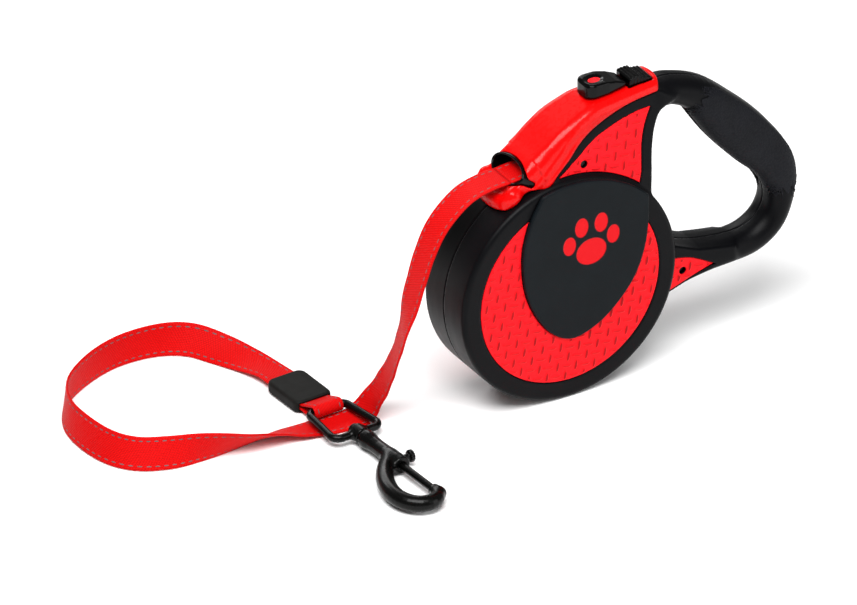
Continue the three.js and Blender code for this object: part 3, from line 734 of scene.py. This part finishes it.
def mark_badge(piece):
    points = (np.array([v.co for v in piece.data.vertices]) - DRUM) / MM
    raised = np.abs(points[:, 1]) > DRUM_HALF + CAP_RISE - 1
    value = (1 - ramp(paw(points[:, 0], points[:, 2]), -0.2, 0.2)) * raised
    attribute = piece.data.attributes.new("badge", "FLOAT", "POINT")
    attribute.data.foreach_set("value", value.astype(np.float32))


# ---- grips ----
def grip_pad(side):
    def field(x, y, z):
        offset, share = grip_offset(x, z)
        bar = grip_bar(x, y, z)
        half = grip_half(share)
        seam = 2.4 + 6.2 * ramp(offset / half, -0.2, 0.75)
        rise = 0.3 + ramp(share, 0.1, 0.17) * (1 - ramp(share, 0.47, 0.565))
        ends = np.maximum(0.1 - share, share - 0.565) * 380
        body = both(both(bar - rise, 0.12 - bar), ends, 0.1)
        body = both(body, seam - side * y, 1.0)
        return np.maximum(body, -(hood(x, y, z) - GAP))
    return field


# ---- buttons ----
LOCK_SIDE = np.array([[19.6, 107.1], [19.6, 114.5], [21.4, 115.7], [31.5, 115.6], [38.6, 114],
                      [44.6, 111.6], [45.4, 108.9]])
BRAKE_SIDE = np.array([[46, 104.8], [46, 112.2], [47.6, 113.4], [53, 113.6], [54.8, 111.8], [60, 111.2],
                       [61.5, 110.2], [61.5, 104.8]])


def lock_button(x, y, z):
    nose = np.hypot(np.maximum(25.4 - x, 0), y * 0.9) - 7.2
    plan = np.maximum(nose, np.abs(y) - np.interp(x, [20, 33, 46], [8.0, 8.0, 6.2]))
    body = both(both(outline(LOCK_SIDE, x, z), plan, 1.1), x - 45.4, 1.2)
    dish = np.sqrt((x - 27.6) ** 2 * 0.55 + y ** 2 * 1.25 + (z - 121.9) ** 2) - 7.6
    stem = largest(slab(x, 30, 36), np.abs(y) - 3.4, slab(z, 102.4, 110))
    return np.minimum(without(body, dish, 0.6), stem)


def lock_dot(x, y, z):
    return both(oval(x - 27.4, y, 4.9, 3.5), slab(z, 112.8, 114.8), 0.5)


def brake(x, y, z):
    body = both(outline(BRAKE_SIDE, x, z), np.abs(y) - 7.4, 1.0)
    ribs = 0.45 * np.cos(2 * math.pi * (x - 46) / 2.1) * ramp(z, 109, 112)
    return body + 0.25 + ribs * 0.5


# ---- clip: sleeve, ring, hook, bolt, in the clip's own axes with Z from the ring's middle ----
RING_R = 2.3
RING_BEND = 4.5               # the ring's corners
RING_INNER = np.array([[-7.9, -4.5], [7.9, -4.5], [10.5, -27.5], [-10.5, -27.5]])
SLEEVE_Y = (10.0, 42.0)
RING_UP = 5.9                 # height of the ring's middle over the surface it lies on
KNOB_Y = -69.0
BOWL = spline([[-0.5, -64, 0], [-5.5, -68.5, 0], [-11, -74.5, 0], [-16, -82, 0], [-19.8, -91, 0],
               [-21.4, -100, 0], [-20, -108.2, 0], [-15.8, -114, 0], [-9.6, -116.4, 0], [-4, -114.8, 0],
               [-0.4, -111, 0]], 3)


def sleeve_tube(x, y, z):
    centre = 3.9 - RING_UP
    plan = both(np.abs(x) - 12.2, slab(y, *SLEEVE_Y), 4.8)
    body = both(plan, np.abs(z - centre) - 3.75, 2.2)
    hole = both(np.abs(x) - 10.0, np.abs(z - centre + 0.1) - 2.6, 0.8)
    return without(body, hole, 0.5)


def ring_bars(x, y, z):
    """four-sided loop of bar, wider at the swivel, with a boss for it"""
    path = outline(RING_INNER, x, y) - RING_BEND
    loop = np.hypot(path, z) - RING_R
    boss = both(np.hypot(x, z) - 4.9, slab(y, -37.5, -29.6), 0.8)
    body = either(loop, boss, 2.2)
    return without(body, np.hypot(x, z) - 2.6, 0.3)


def swivel(x, y, z):
    r = np.hypot(x, z)
    shaft = np.maximum(r - 2.1, slab(y, -44, -28.5))
    head = both(r - 3.6, slab(y, -29.3, -26.9), 0.9)
    return np.minimum(shaft, head)


def hook_body(x, y, z):
    r = np.hypot(x, z)
    width = np.interp(y, [-75, -70, -60, -52, -47, -43, -40, -37.9],
                      [5.2, 5.4, 4.8, 4.5, 4.7, 5.4, 5.4, 4.8])
    shank = both(r - width, slab(y, -75.5, -37.9), 0.9)
    distance, share = line(BOWL[:, :2], x, y)
    thick = 4.2 + 1.0 * np.sin(np.pi * np.clip(share * 1.05, 0, 1)) ** 0.7
    bowl = np.hypot(distance, z * 1.04) - thick
    tip = both(r - 3.6, slab(y, -113.4, -105.3), 1.0)
    body = either(either(shank, bowl, 3.0), tip, 2.0)
    slot = largest(-x, x - 9, slab(y, KNOB_Y - 3.4, KNOB_Y + 15.2), np.abs(z) - 2.5)
    bore = np.maximum(r - 2.55, slab(y, -105.2, -50.6))
    pin = np.maximum(r - 2.4, slab(y, -44.6, -36))
    return without(without(body, np.minimum(slot, bore), 0.4), pin, 0.3)


def bolt_pin(x, y, z):
    pin = both(np.hypot(x, z) - 2.2, slab(y, -104.8, KNOB_Y + 2.8), 0.5)
    from_knob = np.hypot(y - KNOB_Y, z)
    stud = np.maximum(from_knob - 2.0, slab(x, 0, 9.6))
    knurl = 0.16 * np.cos(12 * np.arctan2(z, y - KNOB_Y))
    knob = both(from_knob - 3.5 + knurl, slab(x, 8.4, 11.2), 0.7)
    return np.minimum(pin, either(stud, knob, 0.8))


# ---- webbing ----
LEAD_ROUTE = [[28.6, 0, 38.6, 90], [18, 0, 46.6, 90], [4, 0, 57.8, 90], [-8, 0, 66.6, 90],
              [-19, 0, 71.8, 90], [-31, 0, 71.2, 90]]
TAPE_ROUTE = [
    [-31.4, 0, 71.2, 90], [-43, 0, 70.4, 90], [-55, 0, 67.2, 90], [-65.5, 0, 60, 90],
    [-74.5, 0, 50, 90], [-81.5, 0, 36, 90], [-87, 0.3, 19, 94], [-91.8, 1.4, 0, 102],
    [-95, 4, -18, 116], [-97.8, 8, -34, 126], [-100.8, 12.6, -47, 130], [-104.6, 17, -58, 122],
    [-109.6, 19.2, -65.6, 106], [-115.5, 19.4, -67.9, 96], [-124, 19.8, -68.25, 91],
    [-135, 20.6, -68.2, 88],
    [-147, 21.8, -67.5, 80],
    [-158, 22.8, -66.2, 70], [-171, 21.8, -64.2, 56], [-184, 20.6, -62, 42], [-197, 21.5, -60.4, 24],
    [-211, 24, -59.6, 4], [-228, 28.5, -59.8, -18], [-243.5, 37, -60.2, -26], [-253, 51, -60.2, -26],
    [-257, 72, -59.8, -22], [-255, 94, -59.5, -12], [-243, 114, -59.4, -4], [-221, 129, -59.4, 2],
    [-197, 137, -59.4, 6], [-173, 136.5, -59.6, 14], [-156, 129, -60.4, 30], [-144.6, 115, -62.8, 52],
    [-135.4, 99, -65, 76], [-131, 85, -65.2, 90], [-129.6, 75, -65.2, 90], [-128.7, 62, -65.2, 90],
]
FOLD = [[31, 4.8], [20, 4.8], [12, 5.1], [6, 7.1], [0, 9.3], [-2.4, 8.3], [-3.4, 5.9], [-2.4, 3.5],
        [0, 2.5], [5, 2.4], [11.5, 2.6], [20, 2.6], [31, 2.6]]


def strip_frames(route, per_span):
    """middle line of a strip with its edge and face directions; the last column leans the strip"""
    rows = spline(route, per_span)
    points = rows[:, :3]
    tangent = np.gradient(points, axis=0)
    tangent /= np.linalg.norm(tangent, axis=1)[:, None]
    out = np.cross([0, 0, 1], tangent)
    out /= np.linalg.norm(out, axis=1)[:, None]
    over = np.cross(tangent, out)
    lean = np.radians(rows[:, 3])[:, None]
    edge = over * np.cos(lean) + out * np.sin(lean)
    return points, edge, np.cross(tangent, edge)


def fold_frames(per_span=6):
    rows = spline(FOLD, per_span)
    points = np.stack([0 * rows[:, 0], rows[:, 0], rows[:, 1] - RING_UP], 1)
    tangent = np.gradient(points, axis=0)
    tangent /= np.linalg.norm(tangent, axis=1)[:, None]
    edge = np.tile([1.0, 0, 0], (len(points), 1))
    return points, edge, np.cross(tangent, edge)


def lengths_along(points):
    return np.concatenate([[0], np.cumsum(np.linalg.norm(np.diff(points, axis=0), axis=1))])


# half of the webbing's section: flat faces with rounded, slightly thicker woven edges
SECTION_X = np.array([-1, -0.985, -0.94, -0.86, -0.7, -0.5, -0.25, 0, 0.25, 0.5, 0.7, 0.86, 0.94, 0.985, 1])
SECTION_Y = np.array([0, 0.62, 0.95, 1.0, 0.9, 0.86, 0.85, 0.85, 0.85, 0.86, 0.9, 1.0, 0.95, 0.62, 0])


def add_strip(name, frames, to_frame, body, *nodes):
    points, edge, face = frames
    u = np.concatenate([SECTION_X, SECTION_X[-2:0:-1]]) * TAPE_W / 2
    v = np.concatenate([SECTION_Y, -SECTION_Y[-2:0:-1]]) * TAPE_T / 2
    rings = points[:, None] + edge[:, None] * u[None, :, None] + face[:, None] * v[None, :, None]
    count, around = rings.shape[:2]
    index = np.arange(count * around).reshape(count, around)
    quads = np.stack([index[:-1], np.roll(index[:-1], -1, 1), np.roll(index[1:], -1, 1), index[1:]], -1)
    faces = [*quads.reshape(-1, 4).tolist(), index[0][::-1].tolist(), index[-1].tolist()]
    piece = add_mesh(name, to_frame(rings.reshape(-1, 3)), faces, "webbing")
    along = lengths_along(points)
    layer = piece.data.uv_layers.new(name="weave")
    corner = np.zeros(len(piece.data.loops), int)
    piece.data.loops.foreach_get("vertex_index", corner)
    uv = np.stack([u[corner % around], along[corner // around]], 1)
    layer.data.foreach_set("uv", uv.astype(np.float32).ravel())
    return finish_piece(piece, body, "webbing", *nodes)


STITCH = [(-0.4, 0.0), (-0.28, 0.12), (0, 0.17), (0.28, 0.12), (0.4, 0.0)]     # a stitch's section
STITCH_STEPS = 6


def stitch_points(frames, along, start, long, across, top):
    """one stitch: sections along it that shrink at its ends"""
    points = []
    for share in np.linspace(0, 1, STITCH_STEPS):
        at = start + share * long
        p, e, f = (np.array([np.interp(at, along, q[:, c]) for c in range(3)]) for q in frames)
        swell = math.sin(math.pi * min(max(share, 0.06), 0.94)) ** 0.4
        for du, dv in STITCH:
            lift = TAPE_T / 2 * 0.88 + dv * swell - 0.02
            points.append(p + e * (across + du * swell) + f * top * lift)
    return points


def stitch_quads(base, top):
    n = len(STITCH)
    quads = []
    for ring in range(base + n, base + STITCH_STEPS * n, n):
        for c in range(ring, ring + n - 1):
            quad = [c, c + 1, c + 1 - n, c - n]
            quads.append(quad if top > 0 else quad[::-1])
    return quads


def add_stitches(name, frames, to_frame, body, pitch=4.6, long=2.5, inset=2.5):
    """two rows of grey stitches on both faces of a strip"""
    along = lengths_along(frames[0])
    starts = np.arange(pitch / 2, along[-1] - long, pitch)
    vertices, faces = [], []
    for row in (-1, 1):
        for top in (-1, 1):
            for start in starts:
                faces += stitch_quads(len(vertices), top)
                across = row * (TAPE_W / 2 - inset)
                vertices += stitch_points(frames, along, start, long, across, top)
    piece = add_mesh(name, to_frame(np.array(vertices)), faces, "thread")
    return finish_piece(piece, body, "webbing")


tape_frames = strip_frames(TAPE_ROUTE, 8)
tape = add_strip("tape_webbing", tape_frames, place, "housing", "tape")
tape_stitches = add_stitches("tape_stitches", tape_frames, place, "housing")
add_strip("tape_lead_webbing", strip_frames(LEAD_ROUTE, 8), place, "housing", "tape_lead")
add_stitches("tape_lead_stitches", strip_frames(LEAD_ROUTE, 8), place, "housing")
fold = add_strip("tape_fold_webbing", fold_frames(), place_clip, "housing", "tape_fold")
fold_stitches = add_stitches("tape_fold_stitches", fold_frames(), place_clip, "housing")

CLIP_PIECES = {
    # name: field, corners of its room, step, body, finish, CAD node
    "sleeve_rubber": (sleeve_tube, (-13, 9, -6), (13, 43, 3), 0.5, "housing", "black_rubber", "sleeve"),
    "ring_steel": (ring_bars, (-19, -38, -6), (19, 3, 6), 0.4, "ring", "black_steel", "clip_ring"),
    "swivel_steel": (swivel, (-4, -45, -4), (4, -26, 4), 0.35, "snap", "black_steel", "swivel_pin"),
    "hook_steel": (hook_body, (-28, -123, -7), (8, -37, 7), 0.4, "snap", "black_steel", "hook"),
    "bolt_steel": (bolt_pin, (-4, -106, -5), (13, -65, 5), 0.35, "gate", "black_steel", "bolt"),
}
for name, (field, low, high, step, body, look, node) in CLIP_PIECES.items():
    piece = carve(name, field, low, high, step, look, place_clip)
    finish_piece(piece, body, look, node)

# ---- the housing's pieces ----
BOX_LOW, BOX_HIGH = (-71, -71), (159, 121)
SIDES = {"front": -1, "back": 1}
for name, side in SIDES.items():
    near, far = sorted((0.0, side * 23.0))
    body = carve(f"{name}_half", shell(side), (BOX_LOW[0], near, BOX_LOW[1]),
                 (BOX_HIGH[0], far, BOX_HIGH[1]), 0.8, "black_plastic")
    finish_piece(body, "housing", "black_plastic", f"{name}_shell")
    near, far = sorted((side * 20.5, side * 24.5))
    cover = carve(f"{name}_egg", egg_cover(side), (-34, near, -33), (52, far, 70), 0.5, "egg_plastic")
    mark_badge(cover)
    finish_piece(cover, "housing", "black_plastic", f"{name}_cover")
    near, far = sorted((0, side * 15))
    pad = carve(f"{name}_pad", grip_pad(side), (60, near, -10), (160, far, 112), 0.6, "soft_grip")
    finish_piece(pad, "housing", "soft_grip", f"{name}_grip")
    add_panel(f"{name}_crescent_panel", crescent_rim, lambda z: DRUM_HALF, side, (-59, -59), (59, 59))
    add_panel(f"{name}_upper_panel", upper_rim, wing_half, side, (-7, 51), (59, 99))
    add_panel(f"{name}_strut_panel", lower_rim, lambda z: STRUT_HALF, side, (62, -31), (101, -4))

cover = carve("top_hood", top_cover, (-46, -20, 54), (68, 20, 112), 0.55, "red_gloss")
finish_piece(cover, "housing", "red_gloss", "top_cover")
mouth_ring = carve("mouth_liner", liner, (-46, -17, 60), (-10, 17, 88), 0.45, "gloss_black")
finish_piece(mouth_ring, "housing", "gloss_black", "mouth_guide")
slider = carve("lock_button", lock_button, (18, -9, 101), (47, 9, 118), 0.35, "gloss_black")
finish_piece(slider, "lock", "gloss_black", "lock_slider")
dot = carve("lock_dot", lock_dot, (21, -5, 111), (34, 5, 117), 0.3, "red_panel")
finish_piece(dot, "lock", "red_panel", "lock_mark")
button = carve("brake_key", brake, (44, -9, 103), (63, 9, 117), 0.35, "gloss_black")
finish_piece(button, "brake", "gloss_black", "brake_button")

# ---- CAD nodes that stay as they are get their finish ----
SHOWN = {
    "steel": ("axle", "pawl_pin", "power_spring", "button_spring", "bolt_spring", "brake_pawl"),
    "acetal": ("spool", "spool_flange", "spring_lid"),
    "webbing": ("wound_tape",),
    "screw_steel": ("screw_wing", "screw_strut", "screw_drum_left", "screw_drum_low", "screw_grip_rear"),
}
for look, nodes in SHOWN.items():
    for node in nodes:
        for holder in frame["nodes"][node].material_slots:
            holder.material = LOOK[look]


# ---- floor and light ----
def add_floor():
    n = Nodes("floor_paper", 0.85)
    n.colour(n.ramp(n.noise(3, 2), (0.95, 0.95, 0.95), (0.97, 0.97, 0.97)))
    size = 6.0
    z = DRUM[2] + FLOOR * MM - 0.0002
    mesh = bpy.data.meshes.new("floor")
    corners = [(-size, -size, z), (size, -size, z), (size, size, z), (-size, size, z)]
    mesh.from_pydata(corners, [], [(0, 1, 2, 3)])
    mesh.materials.append(n.material)
    piece = bpy.data.objects.new("floor", mesh)
    bpy.context.collection.objects.link(piece)


def add_light(name, power, size, offset):
    data = bpy.data.lights.new(name, "AREA")
    data.shape = "RECTANGLE"
    data.size, data.size_y = size
    data.energy = power
    lamp = bpy.data.objects.new(name, data)
    at = Vector(DRUM) + Vector(offset)
    lamp.location = at
    lamp.rotation_mode = "QUATERNION"
    lamp.rotation_quaternion = (Vector(DRUM) - at).to_track_quat("-Z", "Y")
    bpy.context.collection.objects.link(lamp)


def add_world(strength):
    world = bpy.data.worlds.new("studio")
    world.use_nodes = True
    background = world.node_tree.nodes["Background"]
    background.inputs["Color"].default_value = (1, 1, 1, 1)
    background.inputs["Strength"].default_value = strength
    bpy.context.scene.world = world


add_floor()
add_world(0.24)
add_light("key", 36, (1.2, 0.8), (-0.5, -0.5, 1.3))
add_light("fill", 8, (0.9, 1.2), (0.9, -1.3, 0.5))
add_light("rim", 9, (1.2, 0.4), (0.2, 1.4, 0.8))
